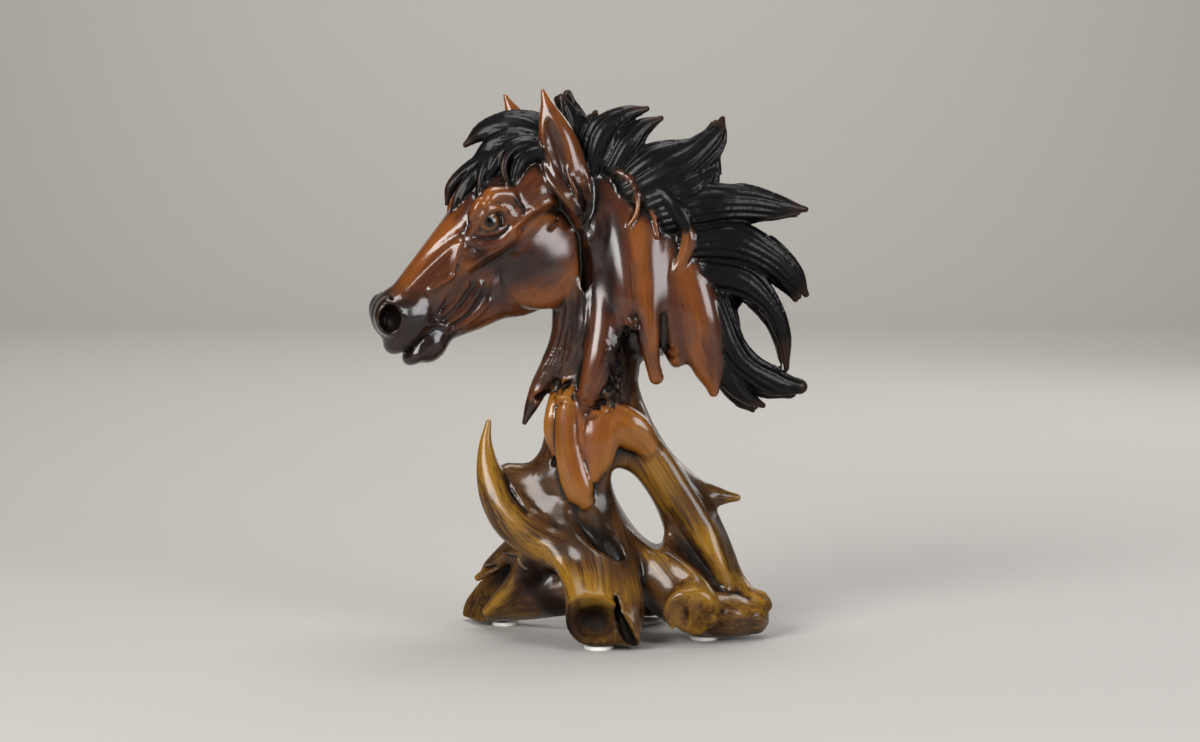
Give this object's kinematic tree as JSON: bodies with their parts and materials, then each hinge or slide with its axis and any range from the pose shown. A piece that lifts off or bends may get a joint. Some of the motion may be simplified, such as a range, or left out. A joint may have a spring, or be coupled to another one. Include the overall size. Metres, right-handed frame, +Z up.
{
  "type": "horse head figurine",
  "caption": "Horse head with a flowing mane, carved in one glossy piece with the gnarled root stand that carries it, on small round pads.",
  "frame": {"origin": "middle of the underside of the whole part, at table level", "axes": "+Z up, -X the way the nose points, -Y the side that shows the left cheek"},
  "size_m": [0.2322, 0.1056, 0.2918],
  "materials": {
    "figure": "glossy lacquer over stain and paint",
    "pads": "matte"
  },
  "bodies": {
    "root": {"figure_horse_head": "figure", "pad_front": "pads", "pad_left": "pads", "pad_right": "pads", "pad_back": "pads"}
  },
  "joints": []
}
